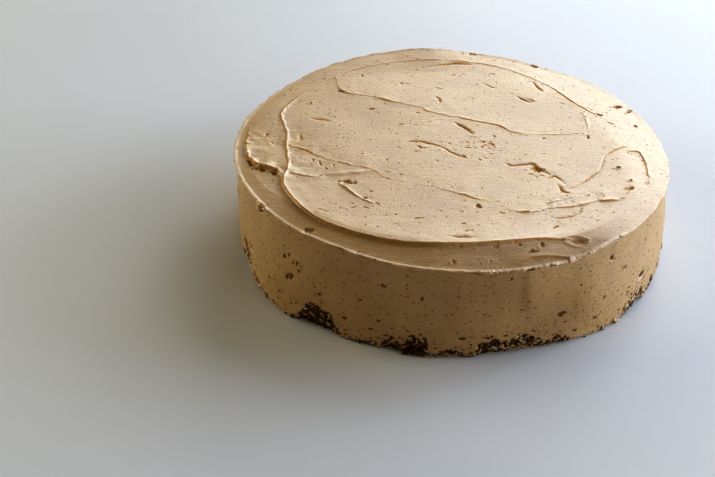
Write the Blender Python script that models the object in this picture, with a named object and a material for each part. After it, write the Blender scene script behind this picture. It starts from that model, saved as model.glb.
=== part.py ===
"""A round coffee cake, uncut: a dark sponge under one coat of buttercream that a palette knife has spread.

The cake stands on Z = 0 with its middle on the Z axis. +Y is its back and -Y its front. Angles run
anticlockwise seen from above, from 0 degrees at +X, so the front is at 270 degrees.
Two solids: the sponge, flat below, and the coat of icing round it, which stops short of the bottom.
"""

from math import atan2, cos, degrees, pi, radians, sin

import bmesh
import bpy
import numpy as np
from mathutils import Vector, noise
from mathutils.geometry import delaunay_2d_cdt

mm = 0.001

# Driving sizes
SIDE_RADIUS = 115 * mm  # the iced side, on average
TOP_LEVEL = 52 * mm  # the iced top at the middle
TOP_LEAN_X = 0.026  # how far the top falls for each metre towards +X
TOP_LEAN_Y = 0.018  # and towards +Y
SIDE_COAT = 5.5 * mm  # icing on the upper side
FOOT_COAT = 2.0 * mm  # icing near the bottom, where the knife scraped it thin
TOP_COAT = 7.5 * mm  # icing on the top
FOOT_TOP = 14 * mm  # below this height the coat is thin
COAT_FULL = 30 * mm  # above this height it has its full thickness
GAP = 0.35 * mm  # between the icing and the sponge
LOWEST_HEM = 0.7 * mm  # the coat never reaches the surface below the cake

COLUMNS = 160  # divisions round the cake

# The sponge
SHOULDER_DROP = 3.5 * mm  # its rounded upper edge starts this far below its top
SHOULDER_IN = 3.5 * mm  # and ends this far in
CRUMB_LEVELS = (0, 2.5 * mm, 5 * mm, 8 * mm, 11 * mm, FOOT_TOP)
CRUMB_HOLE = 1.5 * mm  # how deep the torn crumb goes in
CRUMB_KNOB = 0.6 * mm  # and how far it stands out
CRUMB_CLEAR = 3.2 * mm  # nothing stands out nearer than this to the icing above
LOOSE_CRUMB_ANGLE = 260.5  # one lump leans out under the hem
LOOSE_CRUMB_SPREAD = 2.2
LOOSE_CRUMB_OUT = 3.0 * mm

# The side of the coat: (angle, how far it stands out from the average)
SIDE_WAVES = (
    (190, 0.0), (199, -2.0), (207, -0.5), (213, 1.5), (221, 2.4), (229, 1.8), (238, -0.6),
    (250, 0.0), (257, -1.2), (262, 0.8), (271, 0.0), (281, -0.6), (287, -2.2), (296, 0.0),
    (304, 2.8), (313, 2.2), (323, 1.2), (335, -0.6), (346, -0.6), (360, -1.8), (25, -1.4),
    (50, -0.8), (75, -1.0), (100, -0.4), (125, -1.2), (150, -0.8), (172, 0.4),
)  # fmt: skip

# The rim, where the top coat meets the side: (angle, radius, height), in millimetres
RIM = (
    (195, 115.3, 55.6), (207, 116.0, 56.5), (215, 116.0, 56.3), (222, 116.3, 55.4),
    (231, 115.8, 54.2), (240, 115.5, 54.4), (250, 115.6, 52.7), (260, 115.6, 51.4),
    (270, 115.8, 51.2), (280, 115.6, 49.5), (290, 115.6, 49.4), (299, 115.8, 47.7),
    (308, 115.2, 50.3), (319, 114.8, 49.2), (333, 113.8, 48.6), (350, 113.4, 46.8),
    (8, 113.2, 45.8), (28, 113.4, 46.6), (44, 113.8, 47.6), (58, 113.2, 47.7),
    (72, 113.2, 49.4), (84, 113.2, 50.6), (92, 113.4, 52.6), (98, 113.6, 53.6),
    (106, 113.6, 53.2), (118, 113.8, 53.4), (130, 113.8, 53.0), (142, 113.2, 52.4),
    (155, 113.2, 53.0), (168, 113.6, 54.0), (181, 114.4, 54.8),
)  # fmt: skip

LIP_OVERHANG = 0.9 * mm  # the torn lip stands out over the side
LIP_RAGGED = 0.5 * mm  # more in some places and less in others
LIP_HEIGHT = 0.8 * mm  # it stands up over the top beside it
LIP_THICK = 0.8 * mm  # its outer edge
LIP_DEPTH = 2.4 * mm  # below this it has run back into the side
LIP_IN = 2.2 * mm  # its inner foot

# How wide the sloping border inside the rim is: (angle, width), in millimetres
BORDER = (
    (200, 8), (222, 16), (240, 19), (258, 19), (275, 18), (295, 17), (312, 12), (330, 10),
    (0, 12), (45, 12), (90, 11), (140, 14), (175, 10),
)  # fmt: skip
BORDER_BEND = 1.2  # 1 is an even slope, more is steeper towards the rim

# The drip that the knife pulled down over the rim at the left
DRIP_ANGLE = 213.2
DRIP_SPREAD = 1.3
DRIP_LOW = 48 * mm
DRIP_OUT = 1.1 * mm

# Where the coat stops short of the bottom: (angle, half width, height), degrees and millimetres
BARE_PATCHES = (
    (234.5, 7.0, 10.5), (248.5, 4.0, 2.4), (255.0, 3.6, 5.5), (261.0, 4.6, 8.4), (269.0, 4.0, 3.4),
    (279.0, 5.0, 7.6), (287.5, 6.0, 6.2), (296.0, 4.5, 3.6), (322.0, 6.5, 5.2), (333.0, 4.0, 3.0),
    (12.0, 6.0, 4.5), (41.0, 5.0, 6.5), (66.0, 7.0, 3.2), (97.0, 5.0, 7.4), (121.0, 6.0, 4.0),
    (149.0, 7.0, 6.0), (171.0, 5.0, 3.0), (199.0, 5.0, 4.6),
)  # fmt: skip
HEM_LEVEL = 0.8  # the coat's edge between the patches, in millimetres
HEM_RAGGED = 0.9
HEM_ROUND = 0.6 * mm  # how far its lower edge is rounded in
HEM_RISE = 1.2 * mm  # and up
SIDE_LEVELS = (0, 0.08, 0.2, 0.4, 0.6, 0.8, 1)  # shares of the way from the hem to the lip

# The steps that the knife left on the top. Each is a line of (x, y, step), in millimetres, and the
# icing to the left of the line, looking along it, stands higher by the step.
SWEEPS = {
    "raised round": (
        (-88, 43, 0.2), (-93, 27, 0.8), (-88, 5, 0.8), (-87, -10, 0.9), (-84, -30, 1.1),
        (-85, -46, 1.8), (-81, -59, 2.1), (-68, -77, 2.2), (-50, -89, 2.2), (-26, -97, 2.2),
        (0, -97.5, 2.2), (20, -95, 2.0), (38, -91, 1.6), (52, -89.5, 0.8),
    ),
    "upper sweep": (
        (-66, 76, 0.3), (-64, 64, 0.9), (-61, 57.5, 1.4), (-46, 52.5, 1.5), (-38, 49, 1.4),
        (-25, 44, 1.1), (-15.5, 40, 1.0), (-12, 36, 1.2), (10, 28, 1.4), (26, 22.5, 1.2),
        (32, 16, 1.1), (42, 13.5, 1.0), (58, 14, 1.2), (70, 17, 1.0), (73, 24, 0.2),
    ),
    "back sweep": (
        (-69, 72, 0.3), (-57, 83.5, 0.8), (-40, 93, 1.0), (-20, 99, 0.9), (5, 100.5, 0.9),
        (26, 97, 0.8), (44, 86, 0.9), (58, 71, 1.0), (70, 51.5, 1.2), (81, 38, 0.6),
    ),
    "middle sweep": (
        (-85, -9, 0.4), (-78, -12, 1.2), (-67, -20, 1.1), (-54, -26, 1.0), (-40, -31, 1.1),
        (-34, -38, 0.5), (-14, -44.5, 0.5), (0, -50, 0.9), (14, -57, 0.4),
    ),
    "near sweep": (
        (30, -67, 0.3), (38, -67, 1.2), (47, -63, 0.9), (60, -60, 0.6), (70, -54.5, 0.9),
        (82, -51.5, 0.9), (88, -42, 0.3),
    ),
    "right sweep": ((93, -1, 0.3), (99, -2, 1.0), (100.5, -18, 1.0), (99.5, -34, 0.3)),
    "left flap": (
        (-109, 9, 0.2), (-108, -10, 0.9), (-103, -24, 1.4), (-95, -33, 1.6), (-88, -40, 1.6),
        (-86, -49, 0.5),
    ),
    "front step": ((28, -110, 0.2), (38, -105.5, 0.9), (50, -102, 0.9), (62, -99.5, 0.2)),
}  # fmt: skip

CLIFF = 0.9 * mm  # a step's steep face, seen from above
RUN_OUT = 16 * mm  # the higher icing falls back to the general level over about this length
LIP_SHARE = 0.35  # a ridge along the edge, as a share of the step
LIP_WIDTH = 1.3 * mm
TROUGH_SHARE = 0.18  # and a trough at the foot
TROUGH_WIDTH = 3 * mm

# Dents in the top: (x, y, half length, half width, turn in degrees, depth), in millimetres
DENTS = (
    (57, -88, 4.6, 3.4, 8, 1.6), (88, -42, 3.4, 2.0, 20, 1.6), (-53, -44.5, 3.0, 2.4, -30, 1.8),
    (44, -25, 3.4, 2.2, -35, 1.3), (-62, 57, 2.2, 1.4, -20, 1.0), (36, -102, 2.6, 1.5, 5, 1.0),
)  # fmt: skip

ROLL_SCALE = 42 * mm  # the broad unevenness of the top
ROLL_HEIGHT = 0.45 * mm
SIDE_ROLL = 0.5 * mm  # and of the side
ROW_STEP = 4.2 * mm  # points along a step
ROWS = (-3.6 * mm, -CLIFF, 0, 1.5 * mm, 6 * mm)  # rows of points beside a step, + on its high side
ROW_APART = 0.6 * mm  # least distance between two points of one sweep
SWEEPS_APART = 1.7 * mm  # and of two sweeps
FIELD_STEP = 6.4 * mm  # points on the open top


def ease(share):
    """0 to 1 with level ends."""
    share = np.clip(share, 0, 1)
    return share * share * (3 - 2 * share)


def around(stations, angle, column=1, blur=3.0):
    """A value read between its stations round the cake, with the corners rounded off."""
    stations = sorted((s[0] % 360, s[column]) for s in stations)
    where, value = zip(*stations)
    reads = [np.interp((angle + turn) % 360, where, value, period=360) for turn in (-blur, 0, blur)]
    return sum(reads) / len(reads)


def roll(x, y, scale, layer):
    """Smooth unevenness between about -1 and 1."""
    return noise.noise(Vector((x / scale, y / scale, layer)))


def lid(x, y):
    """The leaning level that the top lies on."""
    return TOP_LEVEL - TOP_LEAN_X * x - TOP_LEAN_Y * y


def side_radius(angle, z):
    """The coat's outer side, below the lip."""
    foot = SIDE_RADIUS + around(SIDE_WAVES, angle) * mm
    rim = around(RIM, angle) * mm - LIP_OVERHANG
    share = ease((z - FOOT_TOP) / (TOP_LEVEL - FOOT_TOP))
    a = radians(angle)
    uneven = SIDE_ROLL * roll(cos(a) * foot, sin(a) * foot + 0.3 * z, 18 * mm, z / (25 * mm))
    return foot * (1 - share) + rim * share + uneven


def hem_height(angle):
    """The coat's ragged lower edge."""
    bare = max(
        high * ease(1.25 - abs((angle - at + 180) % 360 - 180) / wide)
        for at, wide, high in BARE_PATCHES
    )
    ragged = HEM_RAGGED * roll(angle, 0, 3.1, 4.7)
    return max(LOWEST_HEM, (bare + HEM_LEVEL + ragged) * mm)


def sponge_radius(angle, z):
    """The sponge's side: the coat's outer side less the coat, which is thin at the foot."""
    foot = SIDE_RADIUS + around(SIDE_WAVES, angle) * mm - FOOT_COAT - SIDE_ROLL
    wall = SIDE_RADIUS - SIDE_COAT - SIDE_ROLL
    share = np.clip((z - FOOT_TOP) / (COAT_FULL - FOOT_TOP), 0, 1)
    return foot * (1 - share) + wall * share


def sponge_top(x, y):
    return lid(x, y) - TOP_COAT


def smooth_line(points, step):
    """Points every step along a curve through the given ones, and the curve's direction at each."""
    knots = np.array(points, float) * mm
    ends = np.vstack([2 * knots[0] - knots[1], knots, 2 * knots[-1] - knots[-2]])
    share = np.linspace(0, 1, 24, endpoint=False)[:, None]
    fine = np.vstack(
        [
            0.5 * (2 * b + (c - a) * share)
            + 0.5 * (2 * a - 5 * b + 4 * c - d) * share**2
            + 0.5 * (3 * b - a - 3 * c + d) * share**3
            for a, b, c, d in zip(ends, ends[1:], ends[2:], ends[3:])
        ]
        + [ends[-2]]
    )
    length = np.r_[0, np.cumsum(np.hypot(*np.diff(fine[:, :2], axis=0).T))]
    wanted = np.linspace(0, length[-1], max(3, round(length[-1] / step) + 1))
    line = np.column_stack([np.interp(wanted, length, fine[:, i]) for i in range(3)])
    along = np.gradient(line[:, :2], axis=0)
    return line, along / np.hypot(*along.T)[:, None]


LINES = {name: smooth_line(points, 1 * mm) for name, points in SWEEPS.items()}


def beside(line, along, spots):
    """Each spot's distance from a line, + on its left, and the line's step there."""
    apart = spots[:, None, :] - line[None, :, :2]
    near = (apart**2).sum(2).argmin(1)
    gap = apart[np.arange(len(spots)), near]
    left = along[near, 0] * gap[:, 1] - along[near, 1] * gap[:, 0]
    past_end = (near == 0) | (near == len(line) - 1)
    distance = np.where(past_end, np.copysign(np.hypot(*gap.T), left), left)
    return distance, line[near, 2]


def step_height(distance, step):
    """The height that a step adds at a distance from its line."""
    ridge = LIP_SHARE * step
    high = step * np.exp(-distance / RUN_OUT) + ridge * np.exp(-((distance / LIP_WIDTH) ** 2))
    fall = ease(-distance / CLIFF)
    trough = TROUGH_SHARE * step * np.exp(np.minimum(distance + CLIFF, 0) / TROUGH_WIDTH)
    low = (step + ridge) * (1 - fall) - trough * fall
    return np.where(distance >= 0, high, low)


def dent_depth(x, y):
    deep = np.zeros_like(x)
    for at_x, at_y, long, wide, turn, depth in DENTS:
        a = radians(turn)
        dx, dy = x - at_x * mm, y - at_y * mm
        u = (dx * cos(a) + dy * sin(a)) / (long * mm)
        v = (dy * cos(a) - dx * sin(a)) / (wide * mm)
        deep += depth * mm * np.exp(-((u * u + v * v) ** 2))
    return deep


def top_height(spots):
    """The coat's upper face inside the rim's lip."""
    x, y = spots.T
    angle = np.degrees(np.arctan2(y, x)) % 360
    rim_radius = np.array([around(RIM, a) for a in angle]) * mm
    rim_height = np.array([around(RIM, a, 2) for a in angle]) * mm
    width = np.array([around(BORDER, a, blur=8) for a in angle]) * mm
    reach = np.maximum(np.hypot(x, y), mm)
    outward = rim_radius / reach
    drop = lid(x * outward, y * outward) - rim_height
    share = np.clip((reach - rim_radius + width) / width, 0, 1)
    height = lid(x, y) - drop * share**BORDER_BEND
    rolls = np.array([roll(*spot, ROLL_SCALE, 1.0) for spot in spots])
    height += ROLL_HEIGHT * rolls * (1 - share)
    for line, along in LINES.values():
        height += step_height(*beside(line, along, spots))
    return height - dent_depth(x, y)


def ring_point(angle, radius, height):
    a = radians(angle)
    return Vector((radius * cos(a), radius * sin(a), height))


def grow(bm, loop, place):
    """Extrudes a closed loop of edges. place(angle) says where each new point goes."""
    made = bmesh.ops.extrude_edge_only(bm, edges=loop)["geom"]
    points = {item for item in made if isinstance(item, bmesh.types.BMVert)}
    for point in points:
        point.co = place(degrees(atan2(point.co.y, point.co.x)) % 360)
    return [
        item for item in made if isinstance(item, bmesh.types.BMEdge) and points.issuperset(item.verts)
    ]


def first_ring(bm, place):
    """A closed loop of edges round the cake, one point for each column."""
    points = bmesh.ops.create_circle(bm, cap_ends=False, segments=COLUMNS, radius=SIDE_RADIUS)["verts"]
    for point in points:
        point.co = place(degrees(atan2(point.co.y, point.co.x)) % 360)
    return list(bm.edges)


def crumb(angle, z):
    """The torn crumb's holes and knobs, only where no icing covers the sponge."""
    hem = hem_height(angle)
    if z > hem - 0.8 * mm:
        return 0
    rough = roll(angle * 2 * mm, z, 3.4 * mm, 9.1)
    if z + CRUMB_CLEAR > hem:
        return CRUMB_HOLE * min(rough, 0)
    spread = abs((angle - LOOSE_CRUMB_ANGLE + 180) % 360 - 180) / LOOSE_CRUMB_SPREAD
    loose = LOOSE_CRUMB_OUT * ease(1.2 - spread)
    return loose + rough * (CRUMB_KNOB if rough > 0 else CRUMB_HOLE)


def sponge_wall(angle, z, out=0.0):
    return ring_point(angle, sponge_radius(angle, z) + out, z)


def sponge_shoulder(angle, drop, inward, out=0.0):
    """A point on the sponge's rounded upper edge, pushed out by a given distance."""
    radius = sponge_radius(angle, COAT_FULL) - inward
    a = radians(angle)
    height = sponge_top(radius * cos(a), radius * sin(a)) - drop
    return ring_point(angle, radius + out, height + out * (drop < SHOULDER_DROP))


SHOULDER = (
    (SHOULDER_DROP, 0),
    (0.3 * SHOULDER_DROP, 0.3 * SHOULDER_IN),
    (0, SHOULDER_IN),
)


def finish_mesh(bm, name, colour, roughness, sharp):
    """Makes the object, with its faces pointing out and its own material."""
    bmesh.ops.recalc_face_normals(bm, faces=bm.faces)
    mesh = bpy.data.meshes.new(name)
    bm.to_mesh(mesh)
    bm.free()
    mesh.shade_smooth()
    mesh.set_sharp_from_angle(angle=radians(sharp))
    material = bpy.data.materials.new(name)
    material.use_nodes = True
    shader = material.node_tree.nodes["Principled BSDF"]
    shader.inputs["Base Color"].default_value = (*colour, 1)
    shader.inputs["Roughness"].default_value = roughness
    shader.inputs["Metallic"].default_value = 0
    mesh.materials.append(material)
    made = bpy.data.objects.new(name, mesh)
    bpy.context.collection.objects.link(made)
    return made


def make_sponge():
    bm = bmesh.new()
    base = first_ring(bm, lambda a: ring_point(a, sponge_radius(a, 0) + crumb(a, 0), 0))
    bmesh.ops.contextual_create(bm, geom=base)
    loop = base
    for level in CRUMB_LEVELS[1:]:
        loop = grow(bm, loop, lambda a, z=level: sponge_wall(a, z, crumb(a, z)))
    loop = grow(bm, loop, lambda a: sponge_wall(a, COAT_FULL))
    for drop, inward in SHOULDER:
        loop = grow(bm, loop, lambda a, d=drop, i=inward: sponge_shoulder(a, d, i))
    bmesh.ops.contextual_create(bm, geom=loop)
    return finish_mesh(bm, "sponge", (0.030, 0.014, 0.007), 0.9, 35)


def lip_reach(angle):
    """The radius of the torn lip's outer edge."""
    return around(RIM, angle) * mm + LIP_RAGGED * roll(angle, 0, 2.6, 2.2)


def rim_crest(angle):
    return ring_point(angle, lip_reach(angle), around(RIM, angle, 2) * mm)


def drip(angle, z):
    """The drip's relief on the side."""
    spread = abs(angle - DRIP_ANGLE) / DRIP_SPREAD
    return DRIP_OUT * ease(1.3 - spread) * ease((z - DRIP_LOW) / (3 * mm) + 0.5)


def lip_point(angle, down):
    """A point on the lip's outer face, below its crest."""
    z = around(RIM, angle, 2) * mm - down
    return ring_point(angle, lip_reach(angle), z)


def coat_side(angle, share):
    """A point on the coat's outer side, from its hem (0) to just below the lip (1)."""
    low = hem_height(angle) + HEM_RISE
    high = around(RIM, angle, 2) * mm - LIP_DEPTH
    z = low + (high - low) * share
    return ring_point(angle, side_radius(angle, z) + drip(angle, z), z)


def inner_face(bm, loop):
    """The coat's inner face, from its hem up over the sponge, closed at the top."""
    loop = grow(bm, loop, lambda a: sponge_wall(a, hem_height(a), GAP))
    loop = grow(bm, loop, lambda a: sponge_wall(a, FOOT_TOP, GAP))
    loop = grow(bm, loop, lambda a: sponge_wall(a, COAT_FULL, GAP))
    for drop, inward in SHOULDER:
        loop = grow(bm, loop, lambda a, d=drop, i=inward: sponge_shoulder(a, d, i, GAP))
    bmesh.ops.contextual_create(bm, geom=loop)


def outer_side(bm):
    """The coat's outer side and lip. Returns its lowest loop and the loop inside the lip."""
    hem = first_ring(bm, lambda a: ring_point(a, side_radius(a, 0) - HEM_ROUND, hem_height(a)))
    loop = hem
    for share in SIDE_LEVELS:
        loop = grow(bm, loop, lambda a, s=share: coat_side(a, s))
    loop = grow(bm, loop, lambda a: lip_point(a, LIP_THICK))
    loop = grow(bm, loop, rim_crest)
    return hem, grow(bm, loop, inside_lip)


def edge_of(angle):
    """The radius that the open top ends at."""
    return around(RIM, angle) * mm - LIP_IN


def inside_lip(angle):
    """A point at the lip's inner foot."""
    foot = ring_point(angle, edge_of(angle), 0)
    foot.z = top_height(np.array([foot.xy]))[0] - LIP_HEIGHT
    return foot


def inside_edge(spot, margin):
    return np.hypot(*spot) < edge_of(degrees(atan2(spot[1], spot[0])) % 360) - margin


def rows_beside_steps():
    """Rows of points along each step, and the edges that join the points of a row."""
    spots, joins, owner = [], [], []
    for number, (name, points) in enumerate(SWEEPS.items()):
        line, along = smooth_line(points, ROW_STEP)
        across = np.column_stack([-along[:, 1], along[:, 0]])
        for offset in ROWS:
            last = None
            for spot in line[:, :2] + across * offset:
                distance = abs(beside(*LINES[name], spot[None])[0][0])
                crowded = any(
                    np.hypot(*(spot - other)) < (ROW_APART if mine == number else SWEEPS_APART)
                    for other, mine in zip(spots, owner)
                )
                if distance < abs(offset) * 0.85 or crowded or not inside_edge(spot, 2 * mm):
                    last = None
                    continue
                if last is not None and np.hypot(*(spot - spots[last])) < 1.7 * ROW_STEP:
                    joins.append((last, len(spots)))
                last = len(spots)
                spots.append(spot)
                owner.append(number)
    return spots, joins


def dent_points(taken):
    """A middle and a ring of points for each dent."""
    found = []
    for at_x, at_y, long, wide, turn, _ in DENTS:
        for share, count in ((0, 1), (0.75, 8), (1.35, 10)):
            for k in range(count):
                a = 2 * pi * k / count
                u, v = share * long * cos(a), share * wide * sin(a)
                t = radians(turn)
                spot = np.array([at_x + u * cos(t) - v * sin(t), at_y + u * sin(t) + v * cos(t)]) * mm
                if inside_edge(spot, 1.5 * mm) and all(
                    np.hypot(*(spot - other)) > 1.2 * mm for other in taken + found
                ):
                    found.append(spot)
    return found


def field_points(taken):
    """Evenly spread points on the rest of the top."""
    taken = np.array(taken)
    found = []
    rise = FIELD_STEP * sin(pi / 3)
    count = int(SIDE_RADIUS / rise) + 1
    for row in range(-count, count + 1):
        for column in range(-count - 1, count + 2):
            spot = np.array([(column + 0.5 * (row % 2)) * FIELD_STEP, row * rise])
            if inside_edge(spot, 3 * mm) and np.hypot(*(taken - spot).T).min() > 0.55 * FIELD_STEP:
                found.append(spot)
    return found


def fill_top(bm, inside):
    """Covers the top with triangles whose edges follow the knife's steps."""
    ring = sorted({point for edge in inside for point in edge.verts}, key=lambda p: atan2(p.co.y, p.co.x))
    number = {point: i for i, point in enumerate(ring)}
    spots, joins = rows_beside_steps()
    spots += dent_points(spots)
    spots += field_points(spots)
    flat = [point.co.xy for point in ring] + [Vector(spot) for spot in spots]
    borders = [(number[edge.verts[0]], number[edge.verts[1]]) for edge in inside]
    borders += [(a + len(ring), b + len(ring)) for a, b in joins]
    found, _, faces, sources, _, _ = delaunay_2d_cdt(flat, borders, [], 1, 0.05 * mm)
    heights = top_height(np.array([list(spot) for spot in found]))
    points = []
    for spot, height, source in zip(found, heights, sources):
        on_ring = [i for i in source if i < len(ring)]
        points.append(ring[on_ring[0]] if on_ring else bm.verts.new((*spot, height)))
    for face in faces:
        bm.faces.new([points[i] for i in face])


def make_icing():
    bm = bmesh.new()
    hem, inside = outer_side(bm)
    inner_face(bm, hem)
    fill_top(bm, inside)
    return finish_mesh(bm, "icing", (0.55, 0.36, 0.20), 0.5, 40)


for old in list(bpy.data.objects):
    bpy.data.objects.remove(old, do_unlink=True)

make_sponge()
make_icing()
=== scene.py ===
from itertools import product
from math import cos, pi, radians, sin

import bmesh
import bpy
import numpy as np
from mathutils import Matrix, Vector, noise


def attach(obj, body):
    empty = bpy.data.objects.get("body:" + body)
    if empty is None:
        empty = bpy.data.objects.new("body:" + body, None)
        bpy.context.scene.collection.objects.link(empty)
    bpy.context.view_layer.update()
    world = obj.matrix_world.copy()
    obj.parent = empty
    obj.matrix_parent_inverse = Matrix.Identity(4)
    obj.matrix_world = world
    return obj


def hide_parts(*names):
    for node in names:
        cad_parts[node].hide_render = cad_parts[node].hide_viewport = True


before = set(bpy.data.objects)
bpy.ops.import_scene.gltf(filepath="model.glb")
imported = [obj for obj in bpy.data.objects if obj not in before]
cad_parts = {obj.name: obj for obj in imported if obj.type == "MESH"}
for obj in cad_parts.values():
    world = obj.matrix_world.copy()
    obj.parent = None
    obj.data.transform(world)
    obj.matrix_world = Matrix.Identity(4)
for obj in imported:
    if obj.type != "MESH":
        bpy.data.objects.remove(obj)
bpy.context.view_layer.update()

mm = 0.001

# The sponge: one dark, dry layer baked in a round tin, flat below. The coat hides all but its foot, where
# the knife dragged the icing off and tore the crumb. Angles run anticlockwise from +X, so 270 is the front.
SIDE_RADIUS = 115 * mm
TOP_LEVEL = 52 * mm
TOP_LEAN = Vector((0.026, 0.018))  # how far the top falls for each metre towards +X and +Y
SIDE_COAT = 5.5 * mm
FOOT_COAT = 2.0 * mm
TOP_COAT = 7.5 * mm
FOOT_TOP = 14 * mm
COAT_FULL = 30 * mm
SIDE_ROLL = 0.5 * mm
# How far the side leans in or out at the foot: angle, and millimetres
SIDE_WAVES = (
    (190, 0.0), (199, -2.0), (207, -0.5), (213, 1.5), (221, 2.4), (229, 1.8), (238, -0.6),
    (250, 0.0), (257, -1.2), (262, 0.8), (271, 0.0), (281, -0.6), (287, -2.2), (296, 0.0),
    (304, 2.8), (313, 2.2), (323, 1.2), (335, -0.6), (346, -0.6), (360, -1.8), (25, -1.4),
    (50, -0.8), (75, -1.0), (100, -0.4), (125, -1.2), (150, -0.8), (172, 0.4),
)
# Where the sponge shows at the foot: angle, half width in degrees, and height in millimetres
BARE_PATCHES = (
    (234.5, 7.0, 10.5), (248.5, 4.0, 2.4), (255.0, 3.6, 5.5), (261.0, 4.6, 8.4), (269.0, 4.0, 3.4),
    (279.0, 5.0, 7.6), (287.5, 6.0, 6.2), (296.0, 4.5, 3.6), (322.0, 6.5, 5.2), (333.0, 4.0, 3.0),
    (12.0, 6.0, 4.5), (41.0, 5.0, 6.5), (66.0, 7.0, 3.2), (97.0, 5.0, 7.4), (121.0, 6.0, 4.0),
    (149.0, 7.0, 6.0), (171.0, 5.0, 3.0), (199.0, 5.0, 4.6),
)
HEM_LEVEL = 0.8  # in millimetres, as HEM_RAGGED
HEM_RAGGED = 0.9
HEM_TORN = 1.3 * mm  # fine tearing of the coat's edge
OPEN_SHARE = 0.42  # how much of a bare patch is quite open
LOOSE_CRUMB = (260.5, 2.2, 3.0 * mm)  # angle, spread in degrees, how far out


def ease(share):
    """0 to 1 with level ends."""
    share = np.clip(share, 0, 1)
    return share * share * (3 - 2 * share)


def around(stations, angle, column=1, blur=3.0):
    """Values read between stations round the cake, with the corners rounded off."""
    where, value = zip(*sorted((s[0] % 360, s[column]) for s in stations))
    return sum(np.interp(angle + turn, where, value, period=360) for turn in (-blur, 0, blur)) / 3


def roll(spots, scale, layer):
    """Broad smooth unevenness, about -1 to 1."""
    return np.array([noise.noise(Vector((x / scale, y / scale, layer))) for x, y in spots])


def mottle(spots, size, seed):
    """Fine smooth unevenness in three dimensions, -1 to 1, in lumps of about a size."""
    lattice = np.random.default_rng(seed).uniform(-1, 1, (64, 64, 64)).astype(np.float32)
    cell = np.asarray(spots) / size
    low = np.floor(cell).astype(int)
    share = ease(cell - low)
    total = 0
    for corner in product((0, 1), repeat=3):
        weight = np.prod(np.where(corner, share, 1 - share), axis=1)
        total = total + weight * lattice[tuple(((low + corner) % 64).T)]
    return total


def ring_roll(angle, scale, layer):
    """Unevenness along the cake's edge, by angle."""
    return roll(np.column_stack([np.atleast_1d(angle), np.zeros(np.size(angle))]), scale, layer)


def on_ring(angle, radius, z):
    a = np.radians(angle)
    return np.column_stack([radius * np.cos(a), radius * np.sin(a), z])


def bare_height(angle):
    """How high crumb shows at an angle, in millimetres."""
    bare = 0
    for at, wide, high in BARE_PATCHES:
        apart = np.abs((angle - at + 180) % 360 - 180)
        bare = np.maximum(bare, high * ease(1.25 - apart / wide))
    return bare


def hem_height(angle):
    """The height of the coat's ragged lower edge. Above it the coat is thin, with crumb showing through."""
    bare = bare_height(angle)
    ragged = HEM_RAGGED * ring_roll(angle, 3.1, 4.7)
    here = on_ring(angle, SIDE_RADIUS, np.full(np.size(angle), 0.0))
    torn = HEM_TORN * (mottle(here, 1.1 * mm, 3) * 0.6 + mottle(here, 3.3 * mm, 4))
    return np.maximum(0.4 * mm, (OPEN_SHARE * bare + HEM_LEVEL + ragged) * mm + torn * ease(0.35 + bare / 5))


def sponge_radius(angle, z):
    foot = SIDE_RADIUS + around(SIDE_WAVES, angle) * mm - FOOT_COAT - SIDE_ROLL
    wall = SIDE_RADIUS - SIDE_COAT - SIDE_ROLL
    share = np.clip((z - FOOT_TOP) / (COAT_FULL - FOOT_TOP), 0, 1)
    return foot * (1 - share) + wall * share


def lid(x, y):
    """The leaning level that the top lies on."""
    return TOP_LEVEL - TOP_LEAN.x * x - TOP_LEAN.y * y


def read_points(mesh):
    flat = np.empty(len(mesh.vertices) * 3, np.float32)
    mesh.vertices.foreach_get("co", flat)
    return flat.reshape(-1, 3).astype(float)


def write_points(mesh, points):
    mesh.vertices.foreach_set("co", points.astype(np.float32).ravel())
    mesh.update()


def angles_of(points):
    return np.degrees(np.arctan2(points[:, 1], points[:, 0])) % 360


def make_piece(bm, name):
    """Makes the finished bmesh an object that belongs to the cake."""
    mesh = bpy.data.meshes.new(name)
    bm.to_mesh(mesh)
    bm.free()
    made = bpy.data.objects.new(name, mesh)
    bpy.context.scene.collection.objects.link(made)
    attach(made, "root")
    return made


def stand_for(bm, name, node):
    """The same, for a piece that stands for a node of the frame."""
    made = make_piece(bm, name)
    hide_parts(node)
    return made


def grow(bm, loop, height):
    """Extrudes a ring of edges to a height that stands for its row, and returns the new ring."""
    made = bmesh.ops.extrude_edge_only(bm, edges=loop)["geom"]
    raised = {item for item in made if isinstance(item, bmesh.types.BMVert)}
    for point in raised:
        point.co.z = height
    return [item for item in made if isinstance(item, bmesh.types.BMEdge) and raised.issuperset(item.verts)]


SPONGE_COLUMNS = 900
SPONGE_FOOT_ROWS = 24
CRUMB_DEPTH = 1.5 * mm

bm = bmesh.new()
bmesh.ops.create_circle(bm, cap_ends=True, segments=SPONGE_COLUMNS, radius=SIDE_RADIUS)
loop = list(bm.edges)
sponge_rows = SPONGE_FOOT_ROWS + 4
for row in range(1, sponge_rows + 1):
    loop = grow(bm, loop, row * mm)
bmesh.ops.contextual_create(bm, geom=loop)
bmesh.ops.recalc_face_normals(bm, faces=bm.faces)
sponge = stand_for(bm, "sponge_crumb", "sponge")
points = read_points(sponge.data)
angle = angles_of(points)
row = np.round(points[:, 2] / mm)
z = np.where(row <= SPONGE_FOOT_ROWS, row * FOOT_TOP / SPONGE_FOOT_ROWS, COAT_FULL)
flat = on_ring(angle, sponge_radius(angle, z), z)
hem = hem_height(angle)
bare = ease((hem - z) / (1.2 * mm) - 0.2)
lumps = 0.55 * mottle(flat, 2.6 * mm, 11) + 0.3 * mottle(flat, 1.2 * mm, 12)
lumps += 0.25 * mottle(flat, 0.6 * mm, 13)
spread = np.abs((angle - LOOSE_CRUMB[0] + 180) % 360 - 180) / LOOSE_CRUMB[1]
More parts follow.
